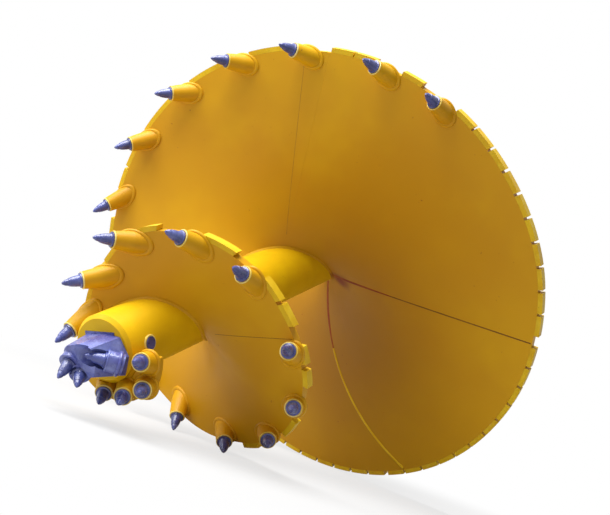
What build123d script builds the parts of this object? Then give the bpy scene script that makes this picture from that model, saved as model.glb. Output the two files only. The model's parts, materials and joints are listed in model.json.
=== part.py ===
import math
import os
from build123d import *

os.makedirs("parts", exist_ok=True)

# all lengths in millimetres; the tool is drawn upright on its own axis, tip
# down, angle zero on +X, and is laid down by the last step

# stem
stem_radius = 84.15
stem_wall = 20.0
stem_mouth_z = -125.0
stem_end_z = 1290.0
mouth_chamfer = 9.0

# flight: one right-hand plate whose rim grows to the full radius
plate_thickness = 25.0
flight_start = -60.0
flight_end = 660.0
pitch_change = 149.0
small_pitch = 438.0
large_pitch = 699.0
rim_full = 752.0
bar_thickness = 14.0
drill_radius = rim_full + bar_thickness
counter_z = -100.0
counter_width = 61.85
weld_gap = 0.2
seam_gap = 0.01

# picks and their holders
shank_radius = 12.5
running_fit = 0.05
shank_length = 31.0
head_length = 48.0
collar_radius = 18.5
head_radius = 14.0
tip_radius = 2.5
holder_radius = 21.5
holder_foot_radius = 27.0
holder_reach = 60.0
holder_root = 10.0
pick_dip = 60.0
pick_splay = 15.0

# pilot
pilot_shank = 88.0
pilot_fit = 0.3
pilot_front_z = -212.0
pilot_back_z = 40.0
pilot_boss_radius = 25.0
pilot_boss_length = 40.0
pin_radius = 16.0
pin_fit = 0.1
pin_z = -51.0
pin_angle = 111.6
# outline of the pilot's nose at the stem's mouth and at its front, across the pin's line
pilot_outline_back = [(60, -34), (80, 12), (62, 58), (-30, 60), (-52, 34), (-52, -14), (-36, -38), (20, -40)]
pilot_outline_front = [(48, -32), (56, 2), (46, 36), (-20, 42), (-34, 26), (-34, -10), (-24, -34), (14, -40)]

# drive end
drive_turn = 34.3
box_outer = 210.0
box_inner = 152.0
box_length = 330.0
box_corner = 12.0
flange_side = 300.0
flange_thickness = 35.0
flange_corner = 40.0
gusset_reach = 75.0
cross_pin_radius = 26.0
cross_pin_z = stem_end_z + flange_thickness + 210.0

# how the tool lies: on the tips of two picks and on the wear bar that reaches lowest
rest_picks = ("m", "n")


def height_at(angle):
    if angle < pitch_change:
        return small_pitch * angle / 360
    knee = small_pitch * pitch_change / 360
    return knee + large_pitch * (angle - pitch_change) / 360


# rim of the flight: angle, radius
rim_profile = [
    (-60, 105),
    (-4, 178),
    (24, 242),
    (60, 286),
    (90, 328),
    (106, 347),
    (123, 376),
    (144, 400),
    (168, 396),
    (196, 376),
    (229, 376),
    (276, 440),
    (323, 522),
    (362, 608),
    (397, 670),
    (432, 720),
    (450, 736),
    (476, rim_full),
    (700, rim_full),
]


def rim_slope(spot):
    if spot in (0, len(rim_profile) - 1):
        return 0
    (before, radius_before), (here, radius), (after, radius_after) = rim_profile[spot - 1:spot + 2]
    if (radius_after - radius) * (radius - radius_before) <= 0:
        return 0
    return (radius_after - radius_before) / (after - before)


def rim_at(angle):
    # smooth curve through the profile, level where the profile is level
    spot = 0
    while spot < len(rim_profile) - 2 and angle > rim_profile[spot + 1][0]:
        spot += 1
    (low, near), (high, far) = rim_profile[spot:spot + 2]
    span = high - low
    t = (angle - low) / span
    return (
        near * (2 * t ** 3 - 3 * t ** 2 + 1)
        + far * (3 * t ** 2 - 2 * t ** 3)
        + span * rim_slope(spot) * (t ** 3 - 2 * t ** 2 + t)
        + span * rim_slope(spot + 1) * (t ** 3 - t ** 2)
    )


def polar(radius, angle, z):
    turn = math.radians(angle)
    return Vector(radius * math.cos(turn), radius * math.sin(turn), z)


def helix_edge(start, end, radius_of, lift, height_of):
    count = max(4, int((end - start) / 6) + 1)
    points = []
    for step in range(count + 1):
        angle = start + (end - start) * step / count
        points.append(polar(radius_of(angle), angle, height_of(angle) + lift))
    spots = [step / count for step in range(count + 1)]
    return Edge.make_spline(points, parameters=spots)


def helix_band(start, end, inner_of, outer_of, height_of, low, high):
    low_in = helix_edge(start, end, inner_of, low, height_of)
    low_out = helix_edge(start, end, outer_of, low, height_of)
    top_in = helix_edge(start, end, inner_of, high, height_of)
    top_out = helix_edge(start, end, outer_of, high, height_of)
    faces = [
        Face.make_surface_from_curves(low_in, low_out),
        Face.make_surface_from_curves(top_in, top_out),
        Face.make_surface_from_curves(low_in, top_in),
        Face.make_surface_from_curves(low_out, top_out),
    ]
    for end_at in (0, 1):
        corners = [edge @ end_at for edge in (low_in, low_out, top_out, top_in)]
        faces.append(Face(Wire.make_polygon(corners, close=True)))
    return Solid(Shell(faces))


def root_at(angle):
    return stem_radius + weld_gap


def helix_plate(start, end, rim_of, height_of=height_at):
    return helix_band(start, end, root_at, rim_of, height_of, 0, plate_thickness)


def local_patch(angle, radius, height_of):
    # stand-in for the plate under one holder, wider than the holder on every side
    half = math.degrees(60 / radius)
    return helix_band(angle - half, angle + half, lambda a: radius - 62, lambda a: radius + 62, height_of, -weld_gap, 70)


def aim(angle, dip, splay):
    turn = math.radians(angle)
    down = math.radians(dip)
    out = math.radians(splay)
    along = math.cos(down) * math.cos(out)
    return Vector(
        along * math.sin(turn) + math.sin(out) * math.cos(turn),
        -along * math.cos(turn) + math.sin(out) * math.sin(turn),
        -math.sin(down) * math.cos(out),
    )


def pick_frame(seat, direction):
    return Plane(origin=seat, z_dir=direction).location


def make_pick():
    outline = [
        (0, -shank_length),
        (shank_radius - 2, -shank_length),
        (shank_radius, -shank_length + 2),
        (shank_radius, running_fit * 6),
        (collar_radius, running_fit * 6),
        (collar_radius, 3.5),
        (head_radius + 1, 5),
        (head_radius, 9),
        (head_radius - 0.5, 0.3 * head_length),
        (head_radius - 2, 0.5 * head_length),
        (head_radius - 4, 0.66 * head_length),
        (head_radius - 5.2, 0.67 * head_length),
        (head_radius - 7, 0.84 * head_length),
        (tip_radius, head_length),
        (0, head_length),
    ]
    profile = make_face(Polyline(*outline, close=True))
    profile = Plane.XZ * profile
    return revolve(profile, Axis.Z)


def make_holder(length):
    bore = shank_radius + running_fit
    outline = [
        (bore, -length),
        (holder_foot_radius, -length),
        (holder_foot_radius, -0.72 * length),
        (holder_radius + 2, -0.25 * length),
        (holder_radius, -3),
        (holder_radius - 2, 0),
        (bore, 0),
    ]
    profile = make_face(Polyline(*outline, close=True))
    profile = Plane.XZ * profile
    return revolve(profile, Axis.Z)


pick_shape = make_pick()
nodes = {}

# picks along the rim: name, angle on the flight, inset of the holder from the rim
rim_picks = [
    ("e", -40, 2),
    ("f", -4, 17),
    ("g", 24, 17),
    ("h", 60, 20),
    ("i", 90, 18),
    ("j", 123, 18),
    ("k", 145, 12),
    ("l", 168, 20),
    ("m", 196, 30),
    ("n", 229, 34),
    ("o", 253, 20),
    ("p", 277, 18),
    ("q", 300, 18),
    ("r", 323, 18),
    ("s", 343, 18),
    ("t", 362, 18),
    ("u", 380, 18),
    ("v", 397.5, 18),
    ("w", 417, 18),
    ("x", 432, 18),
]
# the first pick stands steeper than the rest: name to dip and splay
steep_picks = {"e": (66, 0)}

# picks on the short plate across from the lead: name, angle, radius, dip, splay, reach
counter_picks = [
    ("a", 127, stem_radius + 34.85, 65, 15, holder_reach),
    ("b", 155, stem_radius + 48.85, 60, 14, holder_reach),
    ("c", 180, stem_radius + 23.85, 64, 10, holder_reach),
    ("d", 215, stem_radius + 15.85, 63, 5, holder_reach - 18),
]


def counter_height(angle):
    return counter_z + 0.05 * (angle - 125)


def counter_rim(angle):
    return stem_radius + counter_width - 0.2 * abs(angle - 150)


seats = {}
feet = {}
for name, angle, inset in rim_picks:
    radius = rim_at(angle) - inset
    feet[name] = (angle, radius, height_at, holder_reach)
    dip, splay = steep_picks.get(name, (pick_dip, pick_splay))
    direction = aim(angle, dip, splay)
    foot = polar(radius, angle, height_at(angle))
    seats[name] = (foot + direction * holder_reach, direction)
for name, angle, radius, dip, splay, reach in counter_picks:
    feet[name] = (angle, radius, counter_height, reach)
    direction = aim(angle, dip, splay)
    foot = polar(radius, angle, counter_height(angle))
    seats[name] = (foot + direction * reach, direction)

# flight plates: node, start angle, end angle
flight_plates = [
    ("flight_lead", flight_start, 117),
    ("flight_small", 117, 204),
    ("flight_growing", 204, 402),
    ("flight_middle", 402, 489),
    ("flight_outer", 489, 549),
    ("flight_top", 549, flight_end),
]
for node, start, end in flight_plates:
    nodes[node] = helix_plate(start, end - seam_gap, rim_at)
nodes["counter_plate"] = helix_plate(121, 244, counter_rim, counter_height)

# holders, grouped by the plate that carries them
holder_groups = [
    ("holders_lead", ["e", "f", "g", "h", "i"]),
    ("holders_small", ["j", "k", "l", "m"]),
    ("holders_growing", ["n", "o", "p", "q", "r", "s", "t", "u"]),
    ("holders_outer", ["v", "w", "x"]),
    ("holders_counter", ["a", "b", "c", "d"]),
]
stem_cut = Pos(0, 0, (stem_mouth_z + stem_end_z) / 2) * Cylinder(stem_radius + weld_gap, stem_end_z - stem_mouth_z)
for node, names in holder_groups:
    made = []
    for name in names:
        angle, radius, height_of, reach = feet[name]
        holder = pick_frame(*seats[name]) * make_holder(reach + holder_root)
        holder = holder - local_patch(angle, radius, height_of)
        if radius < stem_radius + 60:
            holder = holder - stem_cut
        made.append(holder.solids().sort_by(SortBy.VOLUME)[-1])
    nodes[node] = Compound(children=made)

# wear bars on the rim: node, then the angle of each middle and the length
short_bar = 62.0
bar_step = 5.4


def bar_row(first, count):
    return [(first + bar_step * k, short_bar) for k in range(count)]


bar_groups = [
    ("bars_lead", [(-27, 46), (9, 62), (29.5, 58), (67, 84), (95, 62), (106.5, 56)]),
    ("bars_small", [(122.5, 44), (131.5, 44), (156, 66), (182, 58)]),
    ("bars_growing", [
        (311, 60), (327.5, short_bar), (335, short_bar), (347, short_bar), (353, short_bar),
        (366, short_bar), (371.5, short_bar), (384, short_bar), (389.5, short_bar),
    ]),
    ("bars_middle", [(405, short_bar), (410.5, short_bar), (422, short_bar)] + bar_row(436, 10)),
    ("bars_outer", bar_row(492.3, 11)),
    ("bars_top", bar_row(552.3, 20)),
]


def bar_inner(angle):
    return rim_at(angle) + weld_gap


def bar_outer(angle):
    return rim_at(angle) + bar_thickness


for node, bars in bar_groups:
    made = []
    for angle, length in bars:
        half = math.degrees(length / 2 / rim_at(angle))
        made.append(helix_band(angle - half, angle + half, bar_inner, bar_outer, height_at, 0, plate_thickness))
    nodes[node] = Compound(children=made)

# stem
socket_depth = pilot_back_z - stem_mouth_z
hollow_from = pilot_back_z + 40
hollow = Pos(0, 0, (hollow_from + stem_end_z) / 2) * Cylinder(stem_radius - stem_wall, stem_end_z - hollow_from)
pin_length = 2 * stem_radius + 2
pin_place = Pos(0, 0, pin_z) * Rot(0, 0, pin_angle) * Pos(3, 0, 0) * Rot(0, 90, 0)
pin_hole = pin_place * Cylinder(pin_radius, pin_length + 40)
turned = Rot(0, 0, pin_angle)
stem = Pos(0, 0, (stem_mouth_z + stem_end_z) / 2) * Cylinder(stem_radius, stem_end_z - stem_mouth_z)
stem = chamfer(stem.edges().sort_by(Axis.Z)[0], mouth_chamfer)
stem = stem - turned * Pos(0, 0, stem_mouth_z + socket_depth / 2) * Box(pilot_shank, pilot_shank, socket_depth)
stem = stem - hollow - pin_hole
nodes["stem"] = stem

# pilot: square shank in the stem's mouth, block ahead of it, three picks
shank_side = pilot_shank - 2 * pilot_fit
pilot = turned * Pos(0, 0, (stem_mouth_z + pilot_back_z) / 2) * Box(shank_side, shank_side, socket_depth)
nose_back = make_face(Polyline(*pilot_outline_back, close=True))
nose_front = make_face(Polyline(*pilot_outline_front, close=True))
nose = loft([Pos(0, 0, stem_mouth_z - weld_gap) * nose_back, Pos(0, 0, pilot_front_z) * nose_front])
neck = Pos(0, 0, stem_mouth_z) * Box(shank_side, shank_side, 4)
pilot = pilot + turned * (nose + neck)
pilot = pilot - pin_hole
# name, angle, radius, height of the seat, dip, splay
pilot_picks = [
    ("ya", 115, 62, -184, 59, -45),
    ("yb", 272, 24, -214, 66, 3),
    ("yc", 203, 34, -206, 59, 18),
]
for name, angle, radius, z, dip, splay in pilot_picks:
    direction = aim(angle, dip, splay)
    seats[name] = (polar(radius, angle, z), direction)
    frame = pick_frame(*seats[name])
    pilot = pilot + frame * Pos(0, 0, -pilot_boss_length / 2) * Cylinder(pilot_boss_radius, pilot_boss_length)
for name, angle, radius, z, dip, splay in pilot_picks:
    frame = pick_frame(*seats[name])
    bore = frame * Pos(0, 0, -35) * Cylinder(shank_radius + running_fit, 70)
    clear = frame * Pos(0, 0, 45) * Cylinder(collar_radius + 3, 90)
    pilot = pilot - bore - clear
nodes["pilot"] = pilot
nodes["pilot_pin"] = pin_place * Cylinder(pin_radius - pin_fit, pin_length)

# drive end
flange = Pos(0, 0, stem_end_z + flange_thickness / 2) * Box(flange_side, flange_side, flange_thickness)
flange = chamfer(flange.edges().filter_by(Axis.Z), flange_corner)
drive = Rot(0, 0, drive_turn)
nodes["drive_flange"] = drive * flange
# the square box is welded from four plates: two plain sides and, between them, two for the pin
box_z = stem_end_z + flange_thickness
box_wall = (box_outer - box_inner) / 2
box_middle = Pos(0, 0, box_z + box_length / 2)
box_sides = box_middle * Box(box_outer, box_outer, box_length)
box_sides = fillet(box_sides.edges().filter_by(Axis.Z), box_corner)
box_sides = box_sides - box_middle * Box(box_outer + 2, box_inner, box_length)
nodes["kelly_box_sides"] = drive * box_sides
pin_bore = Pos(0, 0, cross_pin_z) * Rot(0, 90, 0) * Cylinder(cross_pin_radius, box_outer + 20)
pin_walls = []
for side in (-1, 1):
    pin_wall = box_middle * Pos(side * (box_inner + box_wall) / 2, 0, 0) * Box(box_wall, box_inner, box_length)
    pin_walls.append((drive * (pin_wall - pin_bore)).solids()[0])
nodes["kelly_box"] = Compound(children=pin_walls)
gussets = []
for turn in range(4):
    corner = Plane.XZ * make_face(Polyline(
        (stem_radius - 5, stem_end_z), (flange_side / 2 - 12, stem_end_z),
        (stem_radius + 12, stem_end_z - gusset_reach), (stem_radius - 5, stem_end_z - gusset_reach), close=True))
    rib = extrude(corner, amount=12.5, both=True)
    gussets.append((Rot(0, 0, drive_turn + 90 * turn) * rib - stem_cut).solids()[0])
nodes["drive_gussets"] = Compound(children=gussets)

# picks, each on its own
order = list(seats)
for number, name in enumerate(order):
    nodes["pick_%02d" % (number + 1)] = pick_frame(*seats[name]) * pick_shape

# how it lies: the plane through two pick tips and the one bar corner that puts every other above it
corners = []
for node, bars in bar_groups[-2:]:
    for angle, length in bars:
        half = math.degrees(length / 2 / rim_at(angle))
        for turn in (angle - half, angle + half):
            corners.append(polar(bar_outer(turn), turn, height_at(turn)))


def tip_toward(name, way):
    # the point of a pick's flat tip that reaches furthest in a direction
    seat, direction = seats[name]
    side = way - direction * way.dot(direction)
    return seat + direction * head_length + side.normalized() * tip_radius


def plane_down(corner, tips):
    normal = (tips[1] - tips[0]).cross(corner - tips[0]).normalized()
    return normal if normal.dot(corner) > 0 else normal * -1


def worst_dip(corner, tips):
    normal = plane_down(corner, tips)
    return max(normal.dot(other - corner) for other in corners)


down = polar(1, (rim_picks[8][1] + rim_picks[9][1]) / 2, 0)
for repeat in range(4):
    tips = [tip_toward(name, down) for name in rest_picks]
    down = plane_down(min(corners, key=lambda corner: worst_dip(corner, tips)), tips)
floor_depth = down.dot(tips[0])
along = Vector(0, 0, 1) - down * down.Z
lay = Plane(origin=down * floor_depth, x_dir=along, z_dir=down * -1).location.inverse()

# the origin sits on the floor under the middle of the tool's box
boxes = [(lay * shape).bounding_box() for shape in nodes.values()]
middle_x = (min(box.min.X for box in boxes) + max(box.max.X for box in boxes)) / 2
middle_y = (min(box.min.Y for box in boxes) + max(box.max.Y for box in boxes)) / 2
lowest = min(box.min.Z for box in boxes)
lay = Pos(-middle_x, -middle_y, -lowest) * lay
for node, shape in nodes.items():
    export_step(lay * shape, "parts/%s.step" % node)

total = sum(shape.volume for shape in nodes.values())
print("volume in litres", round(total / 1e6, 2), "mass in kg", round(total * 7.85e-6, 1))


def placed(point):
    spot = (lay * Pos(point.X, point.Y, point.Z)).position
    return [round(v / 1000, 6) for v in (spot.X, spot.Y, spot.Z)]


def pointed(direction):
    start = (lay * Pos(0, 0, 0)).position
    end = (lay * Pos(direction.X, direction.Y, direction.Z)).position
    return [round(v, 6) for v in (end - start)]


print("lowest", round(lowest, 3), "lean", round(math.degrees(math.asin(-down.Z)), 2))
print("axis", placed(Vector(0, 0, 0)), pointed(Vector(0, 0, 1)), pointed(Vector(1, 0, 0)))
print("cross_pin", placed(Vector(0, 0, cross_pin_z)), pointed(polar(1, drive_turn, 0)))
print("box_mouth", placed(Vector(0, 0, box_z + box_length)), pointed(polar(1, drive_turn + 90, 0)))
for number, name in enumerate(order):
    seat, direction = seats[name]
    print("pick_%02d" % (number + 1), placed(seat), pointed(direction))
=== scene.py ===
import json
import math
import bpy
from mathutils import Matrix, Vector


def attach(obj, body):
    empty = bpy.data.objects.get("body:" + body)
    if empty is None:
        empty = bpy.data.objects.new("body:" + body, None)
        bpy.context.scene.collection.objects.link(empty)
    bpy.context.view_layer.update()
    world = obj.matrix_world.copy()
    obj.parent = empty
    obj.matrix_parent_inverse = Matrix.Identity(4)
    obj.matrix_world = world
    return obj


# the rock auger lies on its side; new pieces are placed on the tool's own axes
# (Z from the tip to the drive end, angle zero on X) and then turned into the row frame

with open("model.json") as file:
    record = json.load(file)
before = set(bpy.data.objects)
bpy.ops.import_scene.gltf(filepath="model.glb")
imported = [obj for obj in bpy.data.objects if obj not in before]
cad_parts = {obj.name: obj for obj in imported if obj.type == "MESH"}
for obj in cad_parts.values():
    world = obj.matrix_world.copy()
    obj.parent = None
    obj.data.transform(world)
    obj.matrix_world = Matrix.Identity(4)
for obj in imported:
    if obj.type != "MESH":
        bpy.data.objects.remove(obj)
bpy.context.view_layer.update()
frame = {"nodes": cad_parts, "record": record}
rootBody = "auger"
print("frame loaded")

# lengths in metres, angles in degrees; the axes are worked out from the mounts at the drive end
toolLayout = {
    "socketMouthHeight": 1.655,
    "crossPinTurn": 34.3,
    "stemRadius": 0.08415,
    "pitchSmall": 0.438,
    "pitchLarge": 0.699,
    "pitchChange": 149.0,
    "plateThickness": 0.025,
}


def toolAxes():
    mounts = {mount["name"]: mount for mount in frame["record"]["mounts"]}
    along = Vector(mounts["kelly_socket"]["axis"]).normalized()
    mouth = Vector(mounts["kelly_socket"]["pos_m"])
    pinSide = Vector(mounts["cross_pin_bore"]["axis"]).normalized()
    zero = mouth - along * toolLayout["socketMouthHeight"]
    xAxis = Matrix.Rotation(-math.radians(toolLayout["crossPinTurn"]), 3, along) @ pinSide
    yAxis = along.cross(xAxis)
    turned = Matrix((xAxis, yAxis, along)).transposed().to_4x4()
    return Matrix.Translation(zero) @ turned


toolMatrix = toolAxes()


def pitchAt(angle):
    return toolLayout["pitchSmall"] if angle < toolLayout["pitchChange"] else toolLayout["pitchLarge"]


def flightHeight(angle):
    # height of the flight's front face
    change = toolLayout["pitchChange"]
    if angle < change:
        return toolLayout["pitchSmall"] * angle / 360
    knee = toolLayout["pitchSmall"] * change / 360
    return knee + toolLayout["pitchLarge"] * (angle - change) / 360


def wayOut(angle):
    # from the tool's axis straight out
    turn = math.radians(angle)
    return Vector((math.cos(turn), math.sin(turn), 0))


def toolPoint(radius, angle, height):
    turn = math.radians(angle)
    return Vector((radius * math.cos(turn), radius * math.sin(turn), height))


# shader helpers: a wrapped socket that does maths, and one method for every other node
class PaintValue:
    def __init__(self, mixer, socket):
        self.mixer = mixer
        self.socket = socket

    def combine(self, operation, first, second):
        made = self.mixer.node("ShaderNodeMath", {"operation": operation}, {0: first, 1: second})
        return PaintValue(self.mixer, made.outputs[0])

    def __add__(self, other):
        return self.combine("ADD", self, other)

    def __radd__(self, other):
        return self.combine("ADD", other, self)

    def __sub__(self, other):
        return self.combine("SUBTRACT", self, other)

    def __rsub__(self, other):
        return self.combine("SUBTRACT", other, self)

    def __mul__(self, other):
        return self.combine("MULTIPLY", self, other)

    def __rmul__(self, other):
        return self.combine("MULTIPLY", other, self)


class PaintMixer:
    def __init__(self, name):
        self.material = bpy.data.materials.new(name)
        self.material.use_nodes = True
        self.tree = self.material.node_tree
        self.surface = self.tree.nodes["Principled BSDF"]
        self.output = self.tree.nodes["Material Output"]
        place = self.node("ShaderNodeTexCoord", {}, {})
        self.place = place.outputs["Object"]

    def node(self, kind, settings, sockets):
        made = self.tree.nodes.new(kind)
        for key, value in settings.items():
            setattr(made, key, value)
        self.feed(made, sockets)
        return made

    def feed(self, made, sockets):
        for key, value in sockets.items():
            target = made.inputs[key]
            if isinstance(value, PaintValue):
                self.tree.links.new(value.socket, target)
            elif isinstance(value, bpy.types.NodeSocket):
                self.tree.links.new(value, target)
            else:
                target.default_value = value

    def noise(self, scale, detail=4.0, roughness=0.55):
        sockets = {"Vector": self.place, "Scale": scale, "Detail": detail, "Roughness": roughness}
        return PaintValue(self, self.node("ShaderNodeTexNoise", {}, sockets).outputs[0])

    def reach(self, point):
        # distance from a fixed point
        settings = {"operation": "DISTANCE"}
        made = self.node("ShaderNodeVectorMath", settings, {0: self.place, 1: point})
        return PaintValue(self, made.outputs["Value"])

    def band(self, value, low, high):
        # zero below the low value, one above the high one
        sockets = {"Value": value, "From Min": low, "From Max": high}
        made = self.node("ShaderNodeMapRange", {"interpolation_type": "SMOOTHSTEP"}, sockets)
        return PaintValue(self, made.outputs[0])

    def blend(self, factor, first, second):
        made = self.node("ShaderNodeMix", {"data_type": "RGBA"}, {0: factor, 6: first, 7: second})
        return made.outputs[2]

    def bump(self, height, strength, distance):
        sockets = {"Height": height, "Strength": strength, "Distance": distance}
        return self.node("ShaderNodeBump", {}, sockets).outputs[0]

    def finish(self, sockets):
        self.feed(self.surface, sockets)
        return self.material


# the flight's paint has painted shade low down, and a red-brown patch in the corner where it leaves the
# stem
flightShadeAndPatch = {
    "paintedShadeColour": (0.33, 0.140, 0.006, 1),
    "paintedShadePlace": (0.33, 569.0),
    "paintedShadeRadius": 0.80,
    "paintedShadeShare": 0.8,
    "cornerPatchColour": (0.20, 0.022, 0.008, 1),
    "cornerPatchPlace": (0.115, 506.0),
    "cornerPatchRadius": 0.105,
    "cornerPatchBand": (0.15, 0.85),
    "cornerPatchShare": 0.95,
    "edgeScale": 14.0,
    "edgeDepth": 0.04,
}


def spotMask(mixer, place, radius):
    # one at a place on the flight (radius and angle), falling to nothing with a ragged edge
    reach, angle = place
    middle = toolMatrix @ toolPoint(reach, angle, flightHeight(angle))
    ragged = mixer.noise(flightShadeAndPatch["edgeScale"], 3.0) * flightShadeAndPatch["edgeDepth"]
    return mixer.band(radius - (mixer.reach(tuple(middle)) + ragged), 0.0, radius)


# a pattern's scale is cloudScale times its own number, apart from the chips and the orange peel
yellowPaint = {
    "colour": (0.650, 0.345, 0.003, 1),
    "sunned": (0.710, 0.410, 0.003, 1),
    "deep": (0.570, 0.275, 0.004, 1),
    "primer": (0.26, 0.055, 0.014, 1),
    "cloudScale": 1.6,
    "cloudBand": (0.30, 0.70),
    "sunnedScale": 2.3,
    "sunnedBand": (0.45, 0.80),
    "sunnedShare": 0.6,
    "chipScale": 85.0,
    "chipBand": (0.70, 0.735),
    "patchScale": 6,
    "patchBand": (0.50, 0.68),
    "chipDepth": 0.6,
    "chipRoughness": 0.3,
    "peelScale": 420.0,
    "peelShare": 0.35,
    "fineScale": 20,
    "peelStrength": 0.5,
    "peelDistance": 0.0006,
    "roughness": 0.38,
    "roughnessScale": 9,
    "roughnessSpread": 0.18,
    "specular": 0.20,
    "coat": 0.03,
    "coatRoughness": 0.15,
}


def mixPaint(name, paint, shadeAndPatch=None):
    # sprayed paint: faint clouds of tone, orange peel, small chips to the primer
    mixer = PaintMixer(name)
    scale = paint["cloudScale"]
    clouds = mixer.band(mixer.noise(scale, 3.0), *paint["cloudBand"])
    tone = mixer.blend(clouds, paint["deep"], paint["colour"])
    sunned = mixer.band(mixer.noise(scale * paint["sunnedScale"], 3.0), *paint["sunnedBand"])
    tone = mixer.blend(sunned * paint["sunnedShare"], tone, paint["sunned"])
    if shadeAndPatch:
        # painted shade, darkest low on the flight
        paintedShadeMask = spotMask(mixer, shadeAndPatch["paintedShadePlace"], shadeAndPatch["paintedShadeRadius"])
        tone = mixer.blend(paintedShadeMask * shadeAndPatch["paintedShadeShare"], tone, shadeAndPatch["paintedShadeColour"])
        # a red-brown patch in the corner where the flight leaves the stem
        cornerPatch = mixer.band(spotMask(mixer, shadeAndPatch["cornerPatchPlace"], shadeAndPatch["cornerPatchRadius"]), *shadeAndPatch["cornerPatchBand"])
        tone = mixer.blend(cornerPatch * shadeAndPatch["cornerPatchShare"], tone, shadeAndPatch["cornerPatchColour"])
    patches = mixer.band(mixer.noise(scale * paint["patchScale"]), *paint["patchBand"])
    chips = mixer.band(mixer.noise(paint["chipScale"], 3.0), *paint["chipBand"]) * patches
    fine = mixer.noise(scale * paint["fineScale"], 3.0)
    peel = mixer.noise(paint["peelScale"], 2.0) * paint["peelShare"] + fine * (1 - paint["peelShare"])
    rough = mixer.noise(scale * paint["roughnessScale"]) * paint["roughnessSpread"] + paint["roughness"]
    height = peel - chips * paint["chipDepth"]
    return mixer.finish({
        "Base Color": mixer.blend(chips, tone, paint["primer"]),
        "Roughness": rough + chips * paint["chipRoughness"],
        "Specular IOR Level": paint["specular"],
        "Coat Weight": paint["coat"],
        "Coat Roughness": paint["coatRoughness"],
        "Normal": mixer.bump(height, paint["peelStrength"], paint["peelDistance"]),
    })


# the other paints are the yellow one with their own tones and finish
bluePaint = {
    **yellowPaint,
    "colour": (0.058, 0.075, 0.290, 1),
    "sunned": (0.170, 0.210, 0.520, 1),
    "deep": (0.024, 0.030, 0.130, 1),
    "primer": (0.30, 0.31, 0.36, 1),
    "cloudScale": 12.0,
    "chipScale": 150.0,
    "peelDistance": 0.0014,
    "roughness": 0.20,
    "specular": 0.5,
    "coat": 0.35,
}

# the pilot's blue is the picks' blue made lighter, painted light, and lies over lumps of weld
pilotLitPaint = {
    **bluePaint,
    "colour": (0.150, 0.185, 0.500, 1),
    "sunned": (0.280, 0.340, 0.640, 1),
    "deep": (0.050, 0.052, 0.240, 1),
    "peelScale": 46.0,
    "peelShare": 0.9,
    "peelDistance": 0.006,
}

# pale paint for the lips round the picks and the pin: a painted highlight
lipHighlightPaint = {
    **yellowPaint,
    "colour": (0.80, 0.66, 0.22, 1),
    "sunned": (0.85, 0.76, 0.40, 1),
    "deep": (0.72, 0.50, 0.06, 1),
    "cloudScale": 14.0,
}

barPaint = {
    **yellowPaint,
    "colour": (0.76, 0.51, 0.010, 1),
    "sunned": (0.82, 0.62, 0.040, 1),
    "deep": (0.66, 0.39, 0.006, 1),
    "cloudScale": 8.0,
    "peelDistance": 0.0016,
}

# the stem's yellow is the flight's yellow made lighter: painted light
stemLitPaint = {
    **yellowPaint,
    "colour": (0.780, 0.480, 0.003, 1),
    "sunned": (0.830, 0.540, 0.004, 1),
    "deep": (0.710, 0.410, 0.003, 1),
    "cloudScale": 5.0,
    "peelDistance": 0.0012,
}

# three tones of the gap between two plates: a dark line that is painted shadow, a fainter line, and a
# wider red-brown line near the stem
seamPaint = {
    **yellowPaint,
    "colour": (0.22, 0.088, 0.007, 1),
    "sunned": (0.29, 0.125, 0.008, 1),
    "deep": (0.15, 0.055, 0.006, 1),
    "cloudScale": 20.0,
    "roughness": 0.5,
}

faintPaint = {
    **seamPaint,
    "colour": (0.44, 0.22, 0.012, 1),
    "sunned": (0.50, 0.26, 0.012, 1),
    "deep": (0.36, 0.17, 0.012, 1),
}

redPaint = {
    **seamPaint,
    "colour": (0.33, 0.070, 0.007, 1),
    "sunned": (0.40, 0.120, 0.008, 1),
    "deep": (0.24, 0.036, 0.007, 1),
}

paints = {
    "yellow_paint": mixPaint("yellow_paint", yellowPaint, flightShadeAndPatch),
    "blue_paint": mixPaint("blue_paint", bluePaint),
    "bar_paint": mixPaint("bar_paint", barPaint),
    "seam_shadow": mixPaint("seam_shadow", seamPaint),
    "seam_faint": mixPaint("seam_faint", faintPaint),
    "seam_red": mixPaint("seam_red", redPaint),
    "stem_lit_yellow": mixPaint("stem_lit_yellow", stemLitPaint),
    "pilot_lit_blue": mixPaint("pilot_lit_blue", pilotLitPaint),
    "lip_highlight": mixPaint("lip_highlight", lipHighlightPaint),
}

# a node takes its slot's paint, apart from the two that have their own
ownPaint = {"stem": "stem_lit_yellow", "pilot": "pilot_lit_blue"}
slotOf = {part["node"]: part["material_slot"] for part in frame["record"]["subparts"]}
for nodeName, piece in frame["nodes"].items():
    piece.data.materials.clear()
    piece.data.materials.append(paints[ownPaint.get(nodeName, slotOf[nodeName])])
print("paints mixed")


def settle(piece, name, slotName, paint=None):
    # puts a finished piece, made on the tool's axes, into the row frame
    piece.name = name
    piece.matrix_world = toolMatrix @ piece.matrix_world
    bpy.context.view_layer.update()
    bpy.ops.object.select_all(action="DESELECT")
    piece.select_set(True)
    bpy.context.view_layer.objects.active = piece
    bpy.ops.object.transform_apply(location=True, rotation=True, scale=True)
    bpy.ops.object.mode_set(mode="EDIT")
    bpy.ops.mesh.select_all(action="SELECT")
    bpy.ops.mesh.normals_make_consistent(inside=False)
    bpy.ops.object.mode_set(mode="OBJECT")
    bpy.ops.object.shade_smooth()
    piece.data.materials.clear()
    piece.data.materials.append(paints[paint or slotName])
    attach(piece, rootBody)


def joinAll(pieces):
    bpy.ops.object.select_all(action="DESELECT")
    for piece in pieces:
        piece.select_set(True)
    bpy.context.view_layer.objects.active = pieces[0]
    bpy.ops.object.join()
    return bpy.context.object


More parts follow.
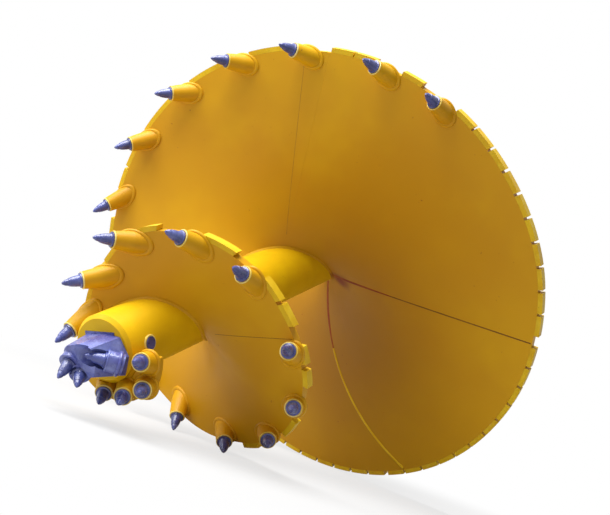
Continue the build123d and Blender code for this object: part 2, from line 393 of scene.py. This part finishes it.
def flightNormal(radius, angle):
    # outward normal of the flight's front face, towards the tip
    turn = math.radians(angle)
    climb = pitchAt(angle) / (2 * math.pi)
    around = Vector((-math.sin(turn), math.cos(turn), 0))
    return (around * climb - Vector((0, 0, radius))).normalized()


beadLook = {
    "sections": 6,
    "ripple": 0.10,
    "ripplesPerStep": 1.9,
    "sink": 0.0004,
    "lookAhead": 0.001,
}


def layBead(path, steps, width, rise, taper=0.0):
    # a weld bead: a grid bent along a path; path(t) gives a place and its outward direction
    bpy.ops.object.select_all(action="DESELECT")
    bpy.ops.mesh.primitive_grid_add(x_subdivisions=steps, y_subdivisions=beadLook["sections"], size=2)
    bead = bpy.context.object
    for vertex in bead.data.vertices:
        t = (vertex.co.x + 1) / 2
        place, out = path(t)
        ahead = path(min(1, t + beadLook["lookAhead"]))[0]
        behind = path(max(0, t - beadLook["lookAhead"]))[0]
        across = (ahead - behind).cross(out).normalized()
        ripple = 1 + beadLook["ripple"] * math.sin(t * steps * beadLook["ripplesPerStep"])
        lift = rise * ripple * (1 - vertex.co.y ** 2) - beadLook["sink"]
        vertex.co = place + across * (vertex.co.y * width * (1 - taper * t)) + out * lift
    return bead


# weld beads along the root of the flight, on both of its faces
rootWeld = {
    "width": 0.010,
    "rise": 0.005,
    "standOff": 0.001,
    "stepsPerTurn": 170,
    "runs": {"root_weld_40": (-60.0, 149.0), "root_weld_249": (149.0, 660.0)},
}

# the short plate across from the lead has a bead on both faces too
counterWeld = {
    "start": 121.0,
    "end": 244.0,
    "steps": 70,
    "height": -0.1002,
    "heightPerDegree": 0.00005,
}


def counterHeight(angle):
    return counterWeld["height"] + counterWeld["heightPerDegree"] * (angle - counterWeld["start"])


def rootPath(start, end, heightAt, side):
    # the corner between the stem and one face of a plate
    def path(t):
        angle = start + (end - start) * t
        lift = 0.0 if side < 0 else toolLayout["plateThickness"]
        radius = toolLayout["stemRadius"] + rootWeld["standOff"]
        place = toolPoint(radius, angle, heightAt(angle) + lift + side * rootWeld["standOff"])
        return place, (wayOut(angle) + Vector((0, 0, side))).normalized()
    return path


def rootBeads(start, end, heightAt, steps):
    beads = []
    for side in (-1, 1):
        path = rootPath(start, end, heightAt, side)
        beads.append(layBead(path, steps, rootWeld["width"], rootWeld["rise"]))
    return joinAll(beads)


for name, (start, end) in rootWeld["runs"].items():
    steps = int(rootWeld["stepsPerTurn"] * (end - start) / 360)
    settle(rootBeads(start, end, flightHeight, steps), name, "yellow_paint")
beads = rootBeads(counterWeld["start"], counterWeld["end"], counterHeight, counterWeld["steps"])
settle(beads, "counter_weld", "yellow_paint")
print("root welds laid")


# seams where the flight's plates meet; a line gives the angle at a radius
def straightSeam(turn, offset):
    # a straight edge that passes the stem's middle at a set distance
    return lambda radius: turn + math.degrees(math.asin(min(1, offset / radius)))


def bentSeam(turn, slope, bend):
    return lambda radius: turn + slope * radius + bend * radius ** 2


seamLine = {
    "lead": straightSeam(110.3, 0.038),
    "growing": straightSeam(395.0, 0.0132),
    "middle": straightSeam(487.0, 0.026),
    "outer": bentSeam(575.6, -30.5, -16.8),
}

# on the front: line, inner radius, rim radius, half width, rise, taper, paint
frontSeams = [
    ("lead", 0.127, 0.360, 0.0014, 0.0006, 0, "seam_shadow"),
    ("growing", 0.127, 0.660, 0.0014, 0.0006, 0, "seam_faint"),
    ("middle", 0.086, 0.300, 0.0090, 0.0012, 0.7, "seam_red"),
    ("middle", 0.280, 0.748, 0.0028, 0.0010, 0, "seam_shadow"),
    ("outer", 0.094, 0.380, 0.0110, 0.0014, 0.8, "seam_red"),
    # the last row is a real bead whose pale paint is a painted highlight along the outer seam
    ("outer", 0.330, 0.746, 0.0042, 0.0030, -0.2, "bar_paint"),
]
frontSeamSteps = 90

backSeam = {
    "width": 0.0075,
    "rise": 0.0032,
    "steps": 120,
    "inner": 0.127,
    "rims": {"lead": 0.360, "growing": 0.660, "middle": 0.746, "outer": 0.744},
}


def seamPath(line, inner, rim, back):
    def path(t):
        radius = inner + (rim - inner) * t
        angle = seamLine[line](radius)
        lift = toolLayout["plateThickness"] if back else 0.0
        out = flightNormal(radius, angle) * (-1 if back else 1)
        return toolPoint(radius, angle, flightHeight(angle) + lift), out
    return path


for count, (line, inner, rim, width, rise, taper, paint) in enumerate(frontSeams, 1):
    bead = layBead(seamPath(line, inner, rim, False), frontSeamSteps, width, rise, taper)
    settle(bead, f"seam_{line}_{count}", "yellow_paint", paint)
beads = []
for line, rim in backSeam["rims"].items():
    path = seamPath(line, backSeam["inner"], rim, True)
    beads.append(layBead(path, backSeam["steps"], backSeam["width"], backSeam["rise"]))
settle(joinAll(beads), "back_seams", "yellow_paint")
print("seams laid")

# a fillet of weld round the foot of each pick's holder; reach is from the seat to the foot
footWeld = {
    "radius": 0.0268,
    "thickness": 0.0055,
    "ringSegments": (40, 10),
    "leastLean": 0.01,
    "mostStretch": 1.5,
    "reach": 0.060,
    "shortReach": 0.042,
    "root": 0.010,
    "footShare": 0.72,
    "footRadius": 0.0272,
    "footSides": 48,
    "sink": 0.0008,
    "heightSlack": 0.02,
    "shortHolder": "pick_24",
    "pilotPicks": ["pick_25", "pick_26", "pick_27"],
    "counterPicks": ["pick_21", "pick_22", "pick_23", "pick_24"],
}


def layRing(place, normal, along, stretch, radius, thickness):
    # a torus laid on a face, drawn out along the way its piece leans
    around, section = footWeld["ringSegments"]
    bpy.ops.object.select_all(action="DESELECT")
    bpy.ops.mesh.primitive_torus_add(
        major_radius=radius, minor_radius=thickness, major_segments=around, minor_segments=section)
    ring = bpy.context.object
    bpy.ops.object.mode_set(mode="EDIT")
    bpy.ops.mesh.select_all(action="SELECT")
    bpy.ops.transform.resize(value=(stretch, 1, 1), center_override=(0, 0, 0))
    bpy.ops.object.mode_set(mode="OBJECT")
    lean = along - normal * along.dot(normal)
    lean = lean if lean.length > footWeld["leastLean"] else normal.orthogonal()
    lean.normalize()
    turned = Matrix((lean, normal.cross(lean), normal)).transposed().to_4x4()
    ring.matrix_world = Matrix.Translation(place) @ turned
    bpy.context.view_layer.update()
    bpy.ops.object.transform_apply(location=True, rotation=True, scale=True)
    return ring


def pickSeats():
    # each pick's seat and the way it points, on the tool's own axes
    back = toolMatrix.inverted()
    for joint in frame["record"]["behaviour"]["joints"]:
        along = (back.to_3x3() @ Vector(joint["axis"])).normalized()
        yield joint["child"], back @ Vector(joint["pos_m"]), along


def footNormal(pick, foot):
    if pick in footWeld["counterPicks"]:
        return Vector((0, 0, -1))
    angle = math.degrees(math.atan2(foot.y, foot.x))
    while flightHeight(angle) < foot.z - footWeld["heightSlack"]:
        angle += 360
    return flightNormal(math.hypot(foot.x, foot.y), angle)


def layFoot(foot, normal, along, reach):
    # carries the holder's round foot down to the plate on the side it leans away from
    bpy.ops.object.select_all(action="DESELECT")
    bpy.ops.mesh.primitive_cylinder_add(
        vertices=footWeld["footSides"], radius=1, depth=2, end_fill_type="NOTHING")
    sleeve = bpy.context.object
    side = along.orthogonal().normalized()
    other = along.cross(side)
    top = reach - footWeld["footShare"] * (reach + footWeld["root"])
    for vertex in sleeve.data.vertices:
        out = (side * vertex.co.x + other * vertex.co.y) * footWeld["footRadius"]
        meets = -out.dot(normal) / along.dot(normal)
        low = meets - footWeld["sink"]
        high = max(meets + footWeld["sink"], top)
        vertex.co = foot + out + along * (low if vertex.co.z < 0 else high)
    return sleeve


def holderFeet():
    rings = []
    for pick, seat, along in pickSeats():
        if pick in footWeld["pilotPicks"]:
            continue
        reach = footWeld["shortReach"] if pick == footWeld["shortHolder"] else footWeld["reach"]
        foot = seat - along * reach
        normal = footNormal(pick, foot)
        rings.append(layFoot(foot, normal, along, reach))
        stretch = min(footWeld["mostStretch"], 1 / max(0.5, along.dot(normal)))
        ring = layRing(foot, normal, along, stretch, footWeld["radius"], footWeld["thickness"])
        rings.append(ring)
    return rings


settle(joinAll(holderFeet()), "holder_welds", "yellow_paint")

# a pale lip round each pick and the pilot's pin, its colour a painted highlight, and the rings on the
# pilot's bosses
lip = {
    "radius": 0.0203,
    "thickness": 0.0019,
    "depth": 0.0016,
    "bossRadius": 0.0238,
    "bossThickness": 0.0024,
    "bossFootDepth": 0.030,
    "bossFootRadius": 0.0250,
    "bossFootThickness": 0.0050,
    "pinRadius": 0.0178,
    "pinThickness": 0.0030,
    "pinHeight": -0.051,
    "pinAngle": 111.6,
    "pinSeat": 0.0836,
}


def layLip(place, along, depth, radius, thickness):
    # a ring square to its axis, at a depth below a place on it
    return layRing(place - along * depth, along, along, 1, radius, thickness)


holderLips = []
bossLips = []
for pick, seat, along in pickSeats():
    if pick in footWeld["pilotPicks"]:
        mouth = layLip(seat, along, lip["bossThickness"], lip["bossRadius"], lip["bossThickness"])
        foot = layLip(seat, along, lip["bossFootDepth"], lip["bossFootRadius"], lip["bossFootThickness"])
        bossLips += [mouth, foot]
    else:
        holderLips.append(layLip(seat, along, lip["depth"], lip["radius"], lip["thickness"]))
pinWay = wayOut(lip["pinAngle"])
pinPlace = pinWay * lip["pinSeat"] + Vector((0, 0, lip["pinHeight"]))
holderLips.append(layLip(pinPlace, pinWay, 0, lip["pinRadius"], lip["pinThickness"]))
settle(joinAll(holderLips), "holder_lips", "yellow_paint", "lip_highlight")
settle(joinAll(bossLips), "boss_lips", "blue_paint", "pilot_lit_blue")
print("holder welds laid")

# welds at the drive end: where the stem and the square box stand on the flange, and up the box
driveWeld = {
    "stemEnd": 1.290,
    "flangeTop": 1.325,
    "boxTop": 1.655,
    "boxHalf": 0.105,
    "boxInner": 0.076,
    "corner": 0.012,
    "cornerShare": 0.41,
    "standOff": 0.001,
    "width": 0.009,
    "rise": 0.005,
    "stemSteps": 120,
    "boxSteps": 160,
    "seamWidth": 0.006,
    "seamRise": 0.0022,
    "seamStandOff": 0.0002,
    "seamInset": 0.004,
    "seamSteps": 60,
}
boxTurn = Matrix.Rotation(math.radians(toolLayout["crossPinTurn"]), 4, "Z")


def stemEndPath(t):
    outward = wayOut(360 * t)
    height = driveWeld["stemEnd"] - driveWeld["standOff"]
    place = outward * (toolLayout["stemRadius"] + driveWeld["standOff"]) + Vector((0, 0, height))
    return place, (outward + Vector((0, 0, -1))).normalized()


def boxFootPath(t):
    # round the square box; a corner stands past the flat sides by a share, as it is rounded
    outward = wayOut(360 * t)
    half = driveWeld["boxHalf"] + driveWeld["standOff"]
    flat = half / max(abs(outward.x), abs(outward.y))
    corner = half + driveWeld["cornerShare"] * (half - driveWeld["corner"])
    height = driveWeld["flangeTop"] + driveWeld["standOff"]
    place = outward * min(flat, corner) + Vector((0, 0, height))
    return boxTurn @ place, (boxTurn.to_3x3() @ outward + Vector((0, 0, 1))).normalized()


def boxSeamPath(side, across):
    # up the joint between a side plate and a plate for the pin
    def path(t):
        length = driveWeld["boxTop"] - driveWeld["flangeTop"] - 2 * driveWeld["seamInset"]
        height = driveWeld["flangeTop"] + driveWeld["seamInset"] + length * t
        reach = side * (driveWeld["boxHalf"] + driveWeld["seamStandOff"])
        place = Vector((reach, across * driveWeld["boxInner"], height))
        return boxTurn @ place, boxTurn.to_3x3() @ Vector((side, 0, 0))
    return path


beads = []
for side in (-1, 1):
    for across in (-1, 1):
        path = boxSeamPath(side, across)
        beads.append(layBead(path, driveWeld["seamSteps"], driveWeld["seamWidth"], driveWeld["seamRise"]))
settle(joinAll(beads), "box_seams", "yellow_paint")

beads = [
    layBead(stemEndPath, driveWeld["stemSteps"], driveWeld["width"], driveWeld["rise"]),
    layBead(boxFootPath, driveWeld["boxSteps"], driveWeld["width"], driveWeld["rise"]),
]
settle(joinAll(beads), "drive_welds", "yellow_paint")
print("drive welds laid")

# floor, backdrop and light
studio = {
    "floorSize": 60.0,
    "floorColour": (0.50, 0.50, 0.50, 1),
    "floorSeen": 0.72,
    "fadeFrom": 0.7,
    "fadeTo": 1.8,
    "worldStrength": 0.27,
}

lamps = {
    "sky": {"place": (-1.7, 0.9, 4.0), "aim": (0, 0, 0.6), "size": 3.2, "power": 370.0},
    "side": {"place": (-2.4, 2.9, 2.5), "aim": (0, 0.3, 0.9), "size": 1.8, "power": 62.0},
}


def layFloor():
    # the camera sees the floor turn to the backdrop's white a little way off; light doesn't
    bpy.ops.object.select_all(action="DESELECT")
    bpy.ops.mesh.primitive_plane_add(size=studio["floorSize"], location=(0, 0, 0))
    floor = bpy.context.object
    floor.name = "floor"
    mixer = PaintMixer("floor_white")
    away = mixer.band(mixer.reach((0, 0, 0)), studio["fadeFrom"], studio["fadeTo"])
    shown = away * (1 - studio["floorSeen"]) + studio["floorSeen"]
    rays = mixer.node("ShaderNodeLightPath", {}, {})
    straight = PaintValue(mixer, rays.outputs["Is Camera Ray"])
    white = mixer.node("ShaderNodeEmission", {}, {"Color": (1, 1, 1, 1), "Strength": 1.0})
    mixer.finish({"Base Color": studio["floorColour"], "Roughness": 0.9, "Specular IOR Level": 0.0})
    both = mixer.node("ShaderNodeMixShader", {}, {
        0: shown * straight,
        1: mixer.surface.outputs[0],
        2: white.outputs[0],
    })
    mixer.feed(mixer.output, {"Surface": both.outputs[0]})
    floor.data.materials.append(mixer.material)


def lightWorld():
    # the camera and reflections see a white backdrop; the light it gives is lower
    world = bpy.data.worlds.new("studio")
    bpy.context.scene.world = world
    world.use_nodes = True
    tree = world.node_tree
    background = tree.nodes["Background"]
    background.inputs["Color"].default_value = (1, 1, 1, 1)
    rays = tree.nodes.new("ShaderNodeLightPath")
    seen = tree.nodes.new("ShaderNodeMath")
    seen.operation = "MAXIMUM"
    tree.links.new(rays.outputs["Is Camera Ray"], seen.inputs[0])
    tree.links.new(rays.outputs["Is Glossy Ray"], seen.inputs[1])
    level = tree.nodes.new("ShaderNodeMapRange")
    level.inputs["To Min"].default_value = studio["worldStrength"]
    level.inputs["To Max"].default_value = 1.0
    tree.links.new(seen.outputs[0], level.inputs["Value"])
    tree.links.new(level.outputs[0], background.inputs["Strength"])


def hangLamp(name, setting):
    lamp = bpy.data.lights.new(name, "AREA")
    lamp.energy = setting["power"]
    lamp.size = setting["size"]
    holder = bpy.data.objects.new(name, lamp)
    bpy.context.collection.objects.link(holder)
    holder.location = setting["place"]
    way = Vector(setting["aim"]) - Vector(setting["place"])
    holder.rotation_euler = way.to_track_quat("-Z", "Y").to_euler()


layFloor()
lightWorld()
for name, setting in lamps.items():
    hangLamp(name, setting)

# camera at the photograph's angle
photoView = {
    "place": (-2.7044, -1.4011, 0.2359),
    "target": (-0.4000, -0.2384, 0.5487),
    "roll": 19.08,
    "lens": 59.0,
}


def setCamera():
    lens = bpy.data.cameras.new("photo_view")
    lens.sensor_width = 36
    lens.lens = photoView["lens"]
    camera = bpy.data.objects.new("photo_view", lens)
    bpy.context.collection.objects.link(camera)
    way = Vector(photoView["target"]) - Vector(photoView["place"])
    look = way.to_track_quat("-Z", "Y").to_matrix().to_4x4()
    roll = Matrix.Rotation(math.radians(photoView["roll"]), 4, "Z")
    camera.matrix_world = Matrix.Translation(photoView["place"]) @ look @ roll
    bpy.context.scene.camera = camera


setCamera()
bpy.context.scene.view_settings.view_transform = "Standard"
print("studio set")
